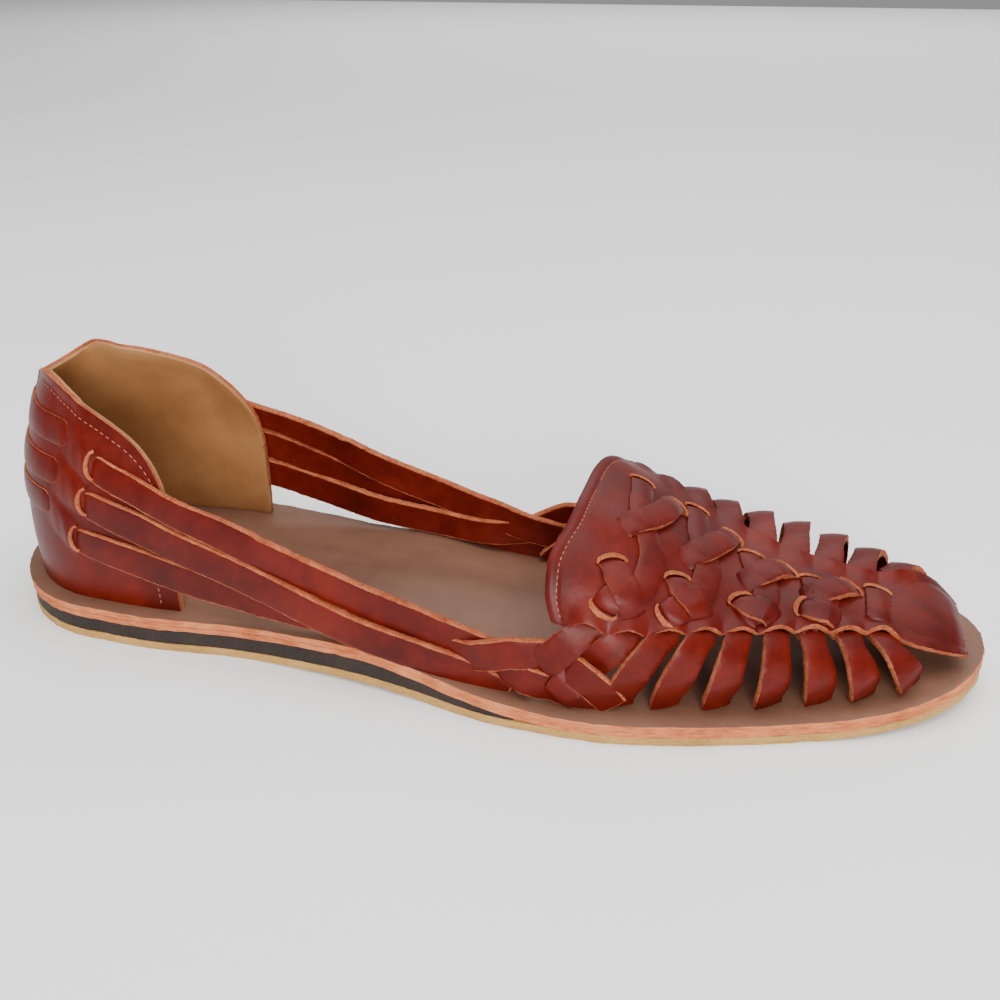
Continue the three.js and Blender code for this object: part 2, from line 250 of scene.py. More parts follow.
def dress(surface, colour, roughness, height, relief):
    """Links a finish's colour, roughness and relief (in millimetres) to its shader."""
    tree = colour.tree
    tree.links.new(colour.socket, surface.inputs["Base Color"])
    tree.links.new(roughness.socket, surface.inputs["Roughness"])
    sockets = {"Height": height, "Distance": relief * MM, "Strength": 1.0}
    bump = height.node("ShaderNodeBump", {}, sockets, "Normal")
    tree.links.new(bump.socket, surface.inputs["Normal"])


gum_crepe, surface, place = new_finish("gum_crepe", 0.25)
wrinkle = place.stretched(1, 1, 3).grain(900, 4)
patch = place.grain(70)
colour = (wrinkle * 0.6 + patch * 0.5).ramp(
    (0.3, (0.27, 0.135, 0.033)), (0.55, (0.43, 0.24, 0.068)), (0.8, (0.54, 0.33, 0.115)))
dress(surface, colour, patch * 0.1 + 0.72, wrinkle, 0.25)

crepe = sole_sheet("crepe_sheet", 0, SOLE_LENGTH, CREPE_INSET, crepe_top)
give_wall(crepe, [gum_crepe] * 3, CREPE_THICK, rounding=0.35)
fray_edge(crepe, depth=0.22, pitch=2.6)
settle(crepe, "gum_crepe", "crepe_outsole")


# ---- heel wedge -------------------------------------------------------------------------
# A wedge of dark brown rubber between the crepe and the leather, 4 mm thick under the
# heel and waist and skived away to nothing where the sole starts to bend.
WEDGE_END = 152.0
WEDGE_INSET = 0.8
WEDGE_GAP = 0.1
WEDGE_HEEL = 4
SKIVE_START = 131.0
wedge_thick = track((0, WEDGE_HEEL), (60, WEDGE_HEEL), (110, 4.3), (132, 2.6), (WEDGE_END, 0.6))

dark_rubber, surface, place = new_finish("dark_rubber", 0.35)
speck = place.grain(1400, 4)
patch = place.grain(90)
colour = (speck * 0.5 + patch * 0.5).ramp(
    (0.35, (0.01, 0.006, 0.004)), (0.7, (0.032, 0.019, 0.013)))
dress(surface, colour, patch * 0.15 + 0.62, speck, 0.12)


def wedge_top(x):
    return crepe_top(x) + WEDGE_GAP + wedge_thick(x)


wedge = sole_sheet("wedge_block", 0, WEDGE_END, WEDGE_INSET, wedge_top)
for _ in range(3):
    wedge.data.materials.append(dark_rubber)
under = wedge.modifiers.new("under", "SOLIDIFY")
under.thickness = WEDGE_HEEL * MM
under.offset = -1
under.material_offset_rim = 2
bpy.ops.object.modifier_apply(modifier="under")
# The under face, whose corners follow those of the upper one, is laid on the crepe.
first_under = (SOLE_ALONG + 1) * (SOLE_ACROSS + 1)
for corner in wedge.data.vertices:
    x = corner.co.x / MM - TO_FRAME.x
    skived = x > SKIVE_START and corner.index >= first_under
    if skived or corner.co.z / MM < wedge_top(x) - 1.5:
        corner.co.z = (crepe_top(x) + 0.02) * MM
fray_edge(wedge, depth=0.15, pitch=2.2)
settle(wedge, "dark_rubber", "heel_wedge")


# ---- leather insole ---------------------------------------------------------------------
# Two sheets of thick vegetable-tanned leather glued together, whose upper one is the
# footbed. The top is smooth, brown and a little mottled; the cut edge is raw and fuzzy,
# with the dark glue line showing from the heel to the waist. The straps go down through it.
INSOLE_THICK = 3.3
INSOLE_GAP = 0.3
FOOTBED_THICK = 1.75
LOWER_THICK = 1.45
GLUE_LINE = 0.22
GLUE_OPEN_TO = 110
GLUE_CLOSED_AT = 170
WEDGE_ROOM_RUN = 10.0


def wedge_room(x):
    """The height that the wedge takes, closing to nothing just in front of it."""
    if x <= WEDGE_END:
        return wedge_thick(x) + INSOLE_GAP
    left = 1 - min((x - WEDGE_END) / WEDGE_ROOM_RUN, 1)
    return (wedge_thick(WEDGE_END) + INSOLE_GAP) * left


def insole_base(x):
    return crepe_top(x) + INSOLE_GAP + wedge_room(x)


def insole_top(x):
    return insole_base(x) + INSOLE_THICK


footbed_leather, surface, place = new_finish("footbed_leather", 0.35)
patch = place.grain(28, 4)
pores = place.grain(2600, 2)
scuff = place.stretched(0.35, 1, 1).grain(120, 5, 0.7)
colour = (patch * 0.7 + scuff * 0.3).ramp(
    (0.3, (0.1, 0.043, 0.024)), (0.52, (0.15, 0.067, 0.039)), (0.75, (0.205, 0.098, 0.06)))
dress(surface, colour, scuff * 0.25 + 0.42, pores, 0.06)

sole_cut_edge, surface, place = new_finish("sole_cut_edge", 0.2)
fibre = place.stretched(0.35, 0.35, 3).grain(700, 5, 0.7)
patch = place.grain(110, 4)
colour = (fibre * 0.65 + patch * 0.45).ramp(
    (0.34, (0.22, 0.046, 0.016)), (0.52, (0.5, 0.14, 0.05)), (0.72, (0.68, 0.26, 0.11)))
dress(surface, colour, fibre * 0.1 + 0.8, fibre, 0.35)


def glue_gap(x):
    """The dark line between the two sheets, open at the heel and closed at the ball."""
    closed = max(0.0, x - GLUE_OPEN_TO) / (GLUE_CLOSED_AT - GLUE_OPEN_TO)
    return max(0.0, GLUE_LINE * (1 - closed))


upper_sheet = sole_sheet("footbed_sheet", 0, SOLE_LENGTH, 0.0, insole_top)
give_wall(upper_sheet, [footbed_leather, sole_cut_edge, sole_cut_edge], FOOTBED_THICK,
          rounding=0.3)
fray_edge(upper_sheet, depth=0.2, pitch=1.7)
settle(upper_sheet, "footbed_leather", "insole")

lower_sheet = sole_sheet("insole_lower_sheet", 0, SOLE_LENGTH, 0.12,
                         lambda x: insole_top(x) - FOOTBED_THICK - glue_gap(x))
give_wall(lower_sheet, [sole_cut_edge] * 3, LOWER_THICK, rounding=0.25)
fray_edge(lower_sheet, depth=0.25, pitch=1.7)
settle(lower_sheet, "footbed_leather")


# ---- heel counter -----------------------------------------------------------------------
# A cup of smooth red-brown leather lined with tan leather, stitched together just below
# the rim and standing on the footbed. Three slots on each side take the side straps, which
# run under the leather, lift it in three low ridges and come out again round the back.
COUNTER_LEATHER = 1.3
COUNTER_LINING = 1.0
COUNTER_GAP = 0.05
PINCH_HEIGHT = 52
SEAM_BELOW = 2.9
SEAM_DEPTH = 0.16
RIDGE_HALF = 5.4
RIDGE_LIFT = 0.55
SLOT_LIFT = 0.95
EAR_X = 58.5
counter_height = track((0, 52.4), (3, 55), (8, 56.8), (13, 56.5), (20, 55.2), (28, 53.9),
                       (34, 52.3), (42, 49.2), (46, 47), (50, 43.8), (53, 40.4), (56, 35.5),
                       (57.6, 31), (EAR_X, 25))
# How far the cup leans in from the sole's edge at each height, at its sides and at its back.
counter_side = track((0, 4.6), (14, 4.0), (28, 4.4), (40, 7.0), (55, 11.2))
counter_back = track((0, 2.8), (14, 1.9), (28, 2.2), (40, 4.2), (55, 9.2))
# How far each side of the rim is drawn in at each station, to a soft point at the back.
outer_pinch = track((0, 0), (2, 3.4), (8, 4.6), (18, 5.0), (27, 3.8), (36, 1.9), (43, 1.5),
                    (50, 2.6), (EAR_X, 3.2))
inner_pinch = track((0, 0), (0.7, -3.0), (2, -4.2), (5, -3.0), (9, -0.4), (18, 3.0), (27, 2.6),
                    (36, 1.2), (43, 0.6), (50, 2.0), (EAR_X, 3.0))
# Station and height above the ground of each slot, from the top one down.
SIDE_SLOTS = ((37.6, 48.4), (34.9, 38.8), (30.9, 28.0))
REAR_SLOTS = ((28.2, 54.4), (24.6, 44.8), (21.2, 36.2))

upper_leather, surface, place = new_finish("upper_leather", 0.18)
patch = place.grain(45, 4)
cloud = place.grain(260, 5, 0.6)
pebble = place.grain(2400, 3)
crease = place.grain(650, 4, 0.6)
colour = (patch * 0.65 + cloud * 0.35).ramp(
    (0.3, (0.04, 0.0015, 0.0006)), (0.5, (0.084, 0.0036, 0.0012)), (0.72, (0.14, 0.0085, 0.0026)))
dress(surface, colour, cloud * 0.2 + 0.31, pebble * 0.35 + crease * 0.65, 0.09)

raw_edge_leather, surface, place = new_finish("raw_edge_leather", 0.15)
fibre = place.grain(1500, 5, 0.75)
patch = place.grain(210, 4)
colour = (fibre * 0.6 + patch * 0.45).ramp(
    (0.33, (0.14, 0.022, 0.009)), (0.52, (0.34, 0.085, 0.034)), (0.72, (0.52, 0.19, 0.085)))
dress(surface, colour, fibre * 0.1 + 0.82, fibre, 0.4)

lining_leather, surface, place = new_finish("lining_leather", 0.35)
patch = place.grain(38, 4)
pores = place.grain(2200, 3)
colour = (patch * 0.8 + pores * 0.2).ramp(
    (0.3, (0.21, 0.083, 0.026)), (0.52, (0.31, 0.135, 0.046)), (0.74, (0.42, 0.2, 0.08)))
dress(surface, colour, patch * 0.2 + 0.45, pores, 0.06)


def heel_close(x):
    """Takes the outline's small flat at the heel tip down to a point."""
    heel = 1 - min(x / HEEL_ROUND, 1)
    return math.sqrt(max(0.0, 1 - heel * heel)) / end_round(x)


def turn_station(turn, reach):
    """The station of a turn round the heel that is 0 at the back and 1 at reach."""
    return reach * (1 - math.cos(abs(turn) * math.pi / 2))


def counter_point(turn, reach, height, proud):
    """The counter's outer face: turn is -1 at the outer ear, 0 at the back, +1 at the inner."""
    side = -1 if turn < 0 else 1
    x = turn_station(turn, reach)
    y = 0.0 if abs(turn) < 1e-6 else edge_y(x, side) * heel_close(x)
    sideways = math.sqrt(1 - (1 - min(x / HEEL_ROUND, 1)) ** 2)
    back = counter_back(height)
    inset = back + (counter_side(height) - back) * sideways - proud
    inward = math.sqrt(1 - sideways ** 2)
    rise = min(height, PINCH_HEIGHT) / PINCH_HEIGHT
    pinch = (outer_pinch(x) if side < 0 else inner_pinch(x)) * rise ** 2
    y -= side * (sideways * inset + pinch)
    return Vector((x + inward * inset, y, insole_top(x) + COUNTER_GAP + height))


def strap_ridge(x, z):
    """How far the straps below the leather lift it, at station x and height z."""
    lift = 0.0
    for (front_x, front_z), (rear_x, rear_z) in zip(SIDE_SLOTS, REAR_SLOTS):
        t = (front_x - x) / (front_x - rear_x)
        middle = front_z + (rear_z - front_z) * t
        across = max(0.0, 1 - ((z - middle) / RIDGE_HALF) ** 2)
        along = min(max(1.3 - abs(t - 0.5) * 1.7, 0.0), 1.0)
        swell = math.exp(-((t - 0.16) / 0.22) ** 2)
        lift = max(lift, math.sqrt(across) * (RIDGE_LIFT * along ** 2 + SLOT_LIFT * swell))
    return lift


def counter_at(x, z, side, proud):
    """The counter's outer face at a station and a height above the ground."""
    turn = side * math.acos(1 - min(x, EAR_X) / EAR_X) * 2 / math.pi
    height = z - insole_top(x) - COUNTER_GAP
    return counter_point(turn, EAR_X, height, proud)


def counter_place(proud, drop):
    """Lays out one sheet of the counter, with its top edge a little lower by drop."""
    def place(u, v):
        turn = 1 - 2 * u
        rim = counter_height(turn_station(turn, EAR_X))
        height = v * (rim - drop)
        base = counter_point(turn, EAR_X, height, 0)
        lift = strap_ridge(base.x, base.z) if proud == 0 else 0.0
        seam = SEAM_DEPTH * math.exp(-((rim - height - SEAM_BELOW) / 0.6) ** 2)
        return counter_point(turn, EAR_X, height, proud + lift - seam)
    return place


raw_backed = [upper_leather, raw_edge_leather, raw_edge_leather]
counter = bent_grid("counter_leather", 160, 60, counter_place(proud=0.0, drop=0.0))
give_wall(counter, raw_backed, COUNTER_LEATHER, rounding=0.3)
fray_edge(counter, depth=0.1, pitch=1.3)
settle(counter, "upper_leather", "heel_counter")

lining = bent_grid("counter_lining", 160, 40, counter_place(proud=-COUNTER_LEATHER, drop=0.35))
give_wall(lining, [lining_leather] * 3, COUNTER_LINING, rounding=0.3)
fray_edge(lining, depth=0.1, pitch=1.3)
settle(lining, "lining_leather")


def new_thread(name, dark, pale):
    """A finish of twisted thread, mottled between two colours."""
    thread, surface, place = new_finish(name, 0.3)
    twist = place.grain(3500, 2)
    colour = twist.ramp((0.3, dark), (0.7, pale))
    dress(surface, colour, twist * 0.1 + 0.6, twist, 0.05)
    return thread


stitch_thread = new_thread("stitch_thread", (0.24, 0.06, 0.032), (0.46, 0.17, 0.1))
lining_thread = new_thread("lining_thread", (0.16, 0.06, 0.02), (0.34, 0.16, 0.06))
STITCH_PITCH = 1.9
STITCH_LENGTH = 1.3
RIM_SEWN_SHARE = 0.985
EAR_SEAM_IN = 5.2
EAR_SEAM_LENGTH = 14


def stitch_row(name, thread, line, pitch, length, thick):
    """Sews a row of stitches along line(t), which gives a point and the way it faces."""
    steps = 600
    samples = [line(i / steps) for i in range(steps + 1)]
    stitches = []
    walked = pitch * 0.5
    for (before, out), (after, _) in zip(samples, samples[1:]):
        step = after - before
        walked += step.length
        if walked < pitch:
            continue
        walked -= pitch
        ahead = step.normalized()
        side_way = out.cross(ahead).normalized()
        turned = Matrix((ahead * length / 2, side_way * thick, out.normalized() * thick * 0.8))
        turned = turned.transposed().to_4x4() * MM
        turned[3][3] = 1.0
        turned.translation = (after + TO_FRAME) * MM
        if not stitches:
            bpy.ops.object.select_all(action="DESELECT")
            bpy.ops.mesh.primitive_uv_sphere_add(segments=8, ring_count=6, radius=1)
            model = bpy.context.object
            bpy.ops.object.shade_smooth()
            model.data.materials.append(thread)
            pattern = model.data.copy()
            model.data.transform(turned)
            stitches.append(model)
        else:
            copy = bpy.data.objects.new(name, pattern.copy())
            copy.data.transform(turned)
            bpy.context.collection.objects.link(copy)
            stitches.append(copy)
    bpy.ops.object.select_all(action="DESELECT")
    for stitch in stitches:
        stitch.select_set(True)
    bpy.context.view_layer.objects.active = stitches[0]
    bpy.ops.object.join()
    row = bpy.context.object
    row.name = name
    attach(row, "root")


def rim_line(proud, below):
    """The row along the rim, that far below it, on the face that stands that proud."""
    def line(t):
        turn = (1 - 2 * t) * RIM_SEWN_SHARE
        height = counter_height(turn_station(turn, EAR_X)) - below
        here = counter_point(turn, EAR_X, height, proud)
        out = counter_point(turn, EAR_X, height, proud + 1) - here
        return here, out if proud > -1 else -out
    return line


stitch_row("rim_stitches_outside", stitch_thread, rim_line(proud=0.0, below=3.2),
           STITCH_PITCH, STITCH_LENGTH, thick=0.15)
stitch_row("rim_stitches_inside", lining_thread,
           rim_line(proud=-COUNTER_LEATHER - COUNTER_LINING, below=2.4),
           STITCH_PITCH, STITCH_LENGTH, thick=0.17)
for side, side_name in ((-1, "outer"), (1, "inner")):
    def ear_line(t, side=side):
        height = insole_top(EAR_X) + 1.5 + EAR_SEAM_LENGTH * t
        return counter_at(EAR_X - EAR_SEAM_IN, height, side, 0.0), Vector((0, side, 0))
    stitch_row("ear_stitches_" + side_name, stitch_thread, ear_line,
               STITCH_PITCH, STITCH_LENGTH, thick=0.15)


LIP_THICK = 0.62
LIP_HALF = 88


def slot_lip(name, shape):
    """The leather pushed up round the end of a slot: shape(angle, v) runs round, then out."""
    def place(u, v):
        return shape(math.radians(-LIP_HALF + 2 * LIP_HALF * u), 1 - v)
    lip = bent_grid(name, 26, 5, place)
    give_wall(lip, raw_backed, LIP_THICK, rounding=0.14)
    fray_edge(lip, depth=0.12, pitch=0.7)
    settle(lip, "upper_leather")


for side, side_name in ((-1, "outer"), (1, "inner")):
    for number, (slot_x, slot_z) in enumerate(SIDE_SLOTS, 1):
        def lip_shape(angle, v, slot_x=slot_x, slot_z=slot_z, side=side):
            x = slot_x + 0.7 - math.cos(angle) * (1.3 + 1.3 * v)
            z = slot_z + 0.6 - side * math.sin(angle) * (3.1 + 0.8 * v)
            lift = (1 - v) ** 1.3 * math.cos(angle) ** 0.6 * 0.9
            return counter_at(x, z, side, 0.25 + lift + strap_ridge(x, z) * v)
        slot_lip(f"side_slot_lip_{side_name}_{number}", lip_shape)


# ---- heel bands -------------------------------------------------------------------------
# The rear ends of the three side straps: flat straps with raw edges that come out through
# the counter's rear slots and lie round the back of the heel, one above another.
BAND_THICK = 1.7
BAND_HALF = 3.3
BAND_SINK = 3.0
# The node, the height of the middle above the footbed, and how far forward it reaches.
HEEL_BANDS = (("heel_band_top", 44.8, 28.5), ("heel_band_middle", 35.0, 25.0),
              ("heel_band_low", 26.2, 21.5))

for name, height, reach in HEEL_BANDS:
    def band_place(u, v, height=height, reach=reach):
        turn = 1 - 2 * u
        sunk = min(1.0, (reach - turn_station(turn, reach)) / BAND_SINK)
        half = BAND_HALF * math.sqrt(1 - (1 - sunk) ** 2 * 0.8)
        crown = 0.3 * (1 - (2 * v - 1) ** 2)
        proud = 0.5 * math.sqrt(sunk) + crown - 0.05
        return counter_point(turn, reach, height + (2 * v - 1) * half, proud)

    band = bent_grid(name + "_strap", 110, 6, band_place)
    give_wall(band, raw_backed, BAND_THICK, rounding=0.3)
    fray_edge(band, depth=0.12, pitch=0.9)
    settle(band, "upper_leather", name)


# ---- side straps and their braid ---------------------------------------------------------
# Three doubled straps on each side stand on edge from the counter's slots to the rear
# corner of the vamp. There they cross the vamp's own first two straps, over one and under
# the next, and all five go down through the footbed.
CROWN_POWER = 3.1
FOOT_INSET = 5.5
FOOT_GAP = 0.3
LEAVE_START = 44
LEAVE_END = 68
VAMP_START = 132
VAMP_FULL = 150
# The height of the foot's ridge at each station, and how far the side walls stand in.
ridge_height = track((130, 50), (160, 48), (170, 44.2), (180, 39), (190, 34), (200, 30),
                     (220, 25.3), (235, 21.6), (247, 19), (253, 16.8), (257, 13.4), (262, 11.5))
outer_inset = track((30, 4.2), (60, 2.0), (86, 0.3), (110, 0.7), (128, 2.4), (144, 4.6),
                    (180, FOOT_INSET))
inner_inset = track((30, 4.2), (60, 2.4), (86, 0.2), (110, -1.4), (128, 0.6), (144, 3.8),
                    (180, FOOT_INSET))


def last_point(x, across):
    """The foot's surface: across is -1 at the outer foot line, 0 on the ridge, +1 inside."""
    angle = across * math.pi / 2
    lateral = edge_y(x, -1) + FOOT_INSET
    medial = edge_y(x, 1) - FOOT_INSET
    floor = insole_top(x) + FOOT_GAP
    outward = math.copysign(abs(math.sin(angle)) ** (2 / CROWN_POWER), angle)
    upward = max(0.0, math.cos(angle)) ** (2 / CROWN_POWER)
    y = (lateral + medial) / 2 + (medial - lateral) / 2 * outward
    return Vector((x, y, floor + (ridge_height(x) - floor) * upward))


def last_normal(x, across):
    """The way the foot's surface faces."""
    inside = min(max(across, -0.99), 0.99)
    along = last_point(x + 0.01, inside) - last_point(x - 0.01, inside)
    around = last_point(x, inside + 0.01) - last_point(x, inside - 0.01)
    return along.cross(around).normalized()


def over_last(x, across, proud):
    """The point that far out of the foot's surface."""
    return last_point(x, across) + last_normal(x, across) * proud


def side_point(x, height, side):
    """The wall that the side straps stand in, at a height above the ground."""
    floor = insole_top(x) + FOOT_GAP
    share = min(max((height - floor) / (ridge_height(x) - floor), 0.0), 0.98)
    round_in = (1 - (1 - share ** CROWN_POWER) ** (1 / CROWN_POWER)) * 40
    flat_in = max(0.0, height - 34) * 0.16
    blend = min(max((x - VAMP_START) / (VAMP_FULL - VAMP_START), 0.0), 1.0)
    inset = outer_inset(x) if side < 0 else inner_inset(x)
    depth = inset + flat_in + (round_in - flat_in) * blend
    y = edge_y(x, side) - side * depth
    if x < LEAVE_END:
        leave = max(0.0, (x - LEAVE_START) / (LEAVE_END - LEAVE_START))
        beside = counter_at(min(x, EAR_X), height, side, 0.0).y
        y = beside + (y - beside) * leave * leave * (3 - 2 * leave)
    return Vector((x, y, height))


def smooth_path(rows):
    """A curve through rows of numbers, by distance along the first three columns."""
    at = [0.0]
    for before, after in zip(rows, rows[1:]):
        at.append(at[-1] + math.dist(before[:3], after[:3]))
    curves = []
    for column in range(len(rows[0])):
        curves.append(track(*[(at[i], rows[i][column]) for i in range(len(rows))]))
    return lambda u: [curve(at[-1] * u) for curve in curves]


def strap_between(name, along, point, thick):
    """A strap: point(u) gives its middle, the way it faces, its width and how it is bowed."""
    stations = [point(i / along) for i in range(along + 1)]
    ways = []
    for i in range(along + 1):
        ahead = stations[min(i + 1, along)][0] - stations[max(i - 1, 0)][0]
        ways.append(ahead.normalized())

    def place(u, v):
        i = round(u * along)
        middle, facing, width, crown = stations[i]
        sideways = facing.cross(ways[i]).normalized()
        out = ways[i].cross(sideways)
        bow = crown * (1 - (2 * v - 1) ** 2)
        return middle + sideways * (v - 0.5) * width + out * bow

    strap = bent_grid(name, along, 6, place)
    give_wall(strap, [upper_leather, upper_leather, raw_edge_leather], thick, rounding=0.48)
    fray_edge(strap, depth=0.16, pitch=0.8)
    settle(strap, "upper_leather", "upper")


SIDE_STRAP_THICK = 2.0
# Rows of station, height above the ground, how far out of the wall, and width.
SIDE_STRAPS = {
    "top": ((37.2, 48.6, 0.2, 6.4), (39.5, 47.7, 0.7, 7.4), (46, 45.3, 1.0, 7.4),
            (58, 41.2, 1.2, 7.5), (74, 36.6, 1.0, 8.3), (90, 31.6, 0.6, 8.9), (108, 26.2, 0.2, 9.1),
            (130, 20.6, 0.2, 9.0), (141, 17.2, -0.7, 8.6), (146.5, 15.5, -1.1, 8.4),
            (150, 13.8, 0.7, 8.2), (154, 12.7, 2.2, 8.0), (158, 11.2, 1.3, 8.0),
            (161.5, 9.8, -0.5, 8.0), (166, 8.4, 0.0, 7.8), (171, 6.2, -0.5, 7.4)),
    "middle": ((34.5, 38.9, 0.2, 6.4), (37, 38.3, 0.7, 7.8), (44, 36.2, 1.0, 8.6),
               (60, 31.6, 1.3, 9.0), (84, 24.5, 1.6, 9.0), (109, 17.2, 2.1, 8.8),
               (130, 12.8, 1.8, 8.6), (138, 11.0, 1.3, 8.4), (144, 8.8, 0.4, 8.0),
               (149, 5.8, -0.6, 7.6)),
    "low": ((30.5, 28.1, 0.2, 6.4), (33, 27.6, 0.7, 7.6), (40, 26.3, 1.0, 8.2),
            (57, 22.9, 1.1, 8.8), (82, 18.6, 0.1, 8.8), (109, 16.2, -1.4, 8.4),
            (128, 15.2, -0.9, 8.0), (139, 15.6, 0.8, 8.0), (146, 17.9, 2.3, 8.2),
            (151.5, 19.6, 2.7, 8.2), (157, 19.6, 1.3, 8.0), (161.5, 17.9, -0.5, 8.0),
            (165, 17.0, 1.8, 8.0), (168, 15.4, 2.7, 8.0), (171.5, 11.8, 1.6, 8.0),
            (175, 6.8, -0.2, 7.4)),
}

for side, side_name in ((-1, "outer"), (1, "inner")):
    for name, rows in SIDE_STRAPS.items():
        path = smooth_path(rows)

        def side_station(u, path=path, side=side):
            x, height, out, width = path(u)
            middle = side_point(x, height, side)
            step = 0.5
            ahead = side_point(x + step, height, side) - middle
            above = side_point(x, height + step, side) - middle
            facing = ahead.cross(above).normalized()
            if facing.y * side < 0:
                facing = -facing
            return middle + facing * out, facing, width, 0.2

        strap_name = f"side_strap_{name}_{side_name}"
        strap_between(strap_name, along=150, point=side_station, thick=SIDE_STRAP_THICK)


# ---- vamp plate -------------------------------------------------------------------------
# One piece of stiff leather over the forefoot, with a turned and stitched edge at the
# throat, a raw scalloped edge over the straps on both sides, and a tab that curls down
# over the toe.
PLATE_WALL = 1.25
PLATE_END = 255.5
THROAT_OUTER = 0.78
THROAT_INNER = 0.42
SCALLOP_HALF = 4.6
SCALLOP_LIFT = 1.2
SEAM_IN = 2.7
TAB_START = 238
TAB_RUN = 7
TAB_LIFT = 0.9
PLATE_PROUD = 1.0
TURNED_EDGE_TO = 172
# The plate's two edges by station, as a share of the way down each side, and its throat.
lateral_share = track((158, 0.74), (168, 0.745), (177, 0.715), (185, 0.655), (193, 0.585),
                      (202, 0.53), (210, 0.485), (218, 0.45), (227, 0.4), (235, 0.35),
                      (243, 0.48), (250, 0.585), (257, 0.69))
medial_share = track((158, 0.47), (168, 0.42), (177, 0.34), (185, 0.23), (193, 0.15),
                     (202, 0.085), (210, 0.045), (218, 0.035), (227, 0.045), (235, 0.08),
                     (243, 0.22), (250, 0.5), (257, 0.76))
throat_line = track((-0.82, 160.2), (-0.66, 157.4), (-0.52, 157.1), (-0.4, 158.1),
                    (-0.24, 160.1), (-0.03, 161.1), (0.1, 162.1), (0.22, 163.6), (0.4, 166.5))
# Stations where each cross strap leaves the plate and where it stands, outer then inner.
CROSS_STRAPS = ((168, 153, 171, 157), (177, 164, 180, 167), (185.6, 176, 188.5, 179),
                (193.8, 187, 197, 189.5), (201.8, 199, 205.5, 202), (210.3, 211, 214, 214.5),
                (218.3, 222.5, 222.5, 226), (226.8, 233, 231, 237), (234.8, 244, 239.5, 247.5))


def arch(x, side):
    """1 over the middle of a cross strap and 0 between two of them."""
    best = 0.0
    for row in CROSS_STRAPS:
        top = row[0] if side < 0 else row[2]
        if abs(x - top) < SCALLOP_HALF:
            best = max(best, math.cos((x - top) / SCALLOP_HALF * math.pi / 2))
    return best


def plate_share(x, side):
    """Across value of the plate's edge, drawn back a little over each strap."""
    if side > 0:
        return medial_share(x) + 0.012 - 0.022 * arch(x, side)
    return -lateral_share(x) - 0.025 + 0.05 * arch(x, side)


def throat_at(lean):
    """The throat's station, from -1 at the plate's outer edge to +1 at its inner edge."""
    return throat_line(lean * (THROAT_OUTER if lean < 0 else THROAT_INNER))


def plate_place(u, v):
    lean = 2 * v - 1
    side = -1 if lean < 0 else 1
    throat = throat_at(lean)
    x = throat + (PLATE_END - throat) * u
    across = abs(lean) * plate_share(x, side)
    inset = abs(plate_share(x, side)) * (1 - abs(lean))
    lift = SCALLOP_LIFT * arch(x, side) * max(0.0, 1 - inset / 0.12) ** 1.5
    tab = min(max((x - TAB_START) / TAB_RUN, 0.0), 1.0)
    lift += TAB_LIFT * tab * max(0.0, 1 - inset / 0.16)
    hem = x - throat
    roll = 0.3 * math.exp(-((hem - 1.1) / 1.0) ** 2)
    roll -= SEAM_DEPTH * math.exp(-((hem - SEAM_IN) / 0.45) ** 2)
    dent = noise.noise(last_point(x, across) * 0.085) * 0.5
    return over_last(x, across, PLATE_PROUD + lift + roll + dent)


plate = bent_grid("vamp_plate", 200, 90, plate_place)
give_wall(plate, raw_backed, PLATE_WALL, rounding=0.16)
# The throat's edge is turned in, so it shows the dyed face of the leather.
for face in plate.data.polygons:
    at = face.center / MM - TO_FRAME
    turned_in = at.x < TURNED_EDGE_TO and abs(face.normal.x) > 0.6
    if face.material_index == 2 and turned_in:
        face.material_index = 0
fray_edge(plate, depth=0.16, pitch=0.9)
settle(plate, "upper_leather", "upper")


def throat_seam(t):
    lean = -0.97 + 1.9 * t
    side = -1 if lean < 0 else 1
    x = throat_at(lean) + SEAM_IN
    across = abs(lean) * plate_share(x, side)
    return over_last(x, across, 0.92), last_normal(x, across)


stitch_row("throat_stitches", stitch_thread, throat_seam, pitch=1.5, length=1.0, thick=0.13)


# ---- cross straps and the weave ----------------------------------------------------------
# Nine straps cross the vamp. Each rises from the footbed, passes under the plate's edge,
# comes up through a slot, weaves over and under its neighbour on top of the plate, goes
# down a slot on the other side and into the footbed again.
STRAP_THICK = 1.7
ON_PLATE = 2.0
ON_STRAP = 3.3
UNDER = -0.95
STRAP_TWIST = 0.34
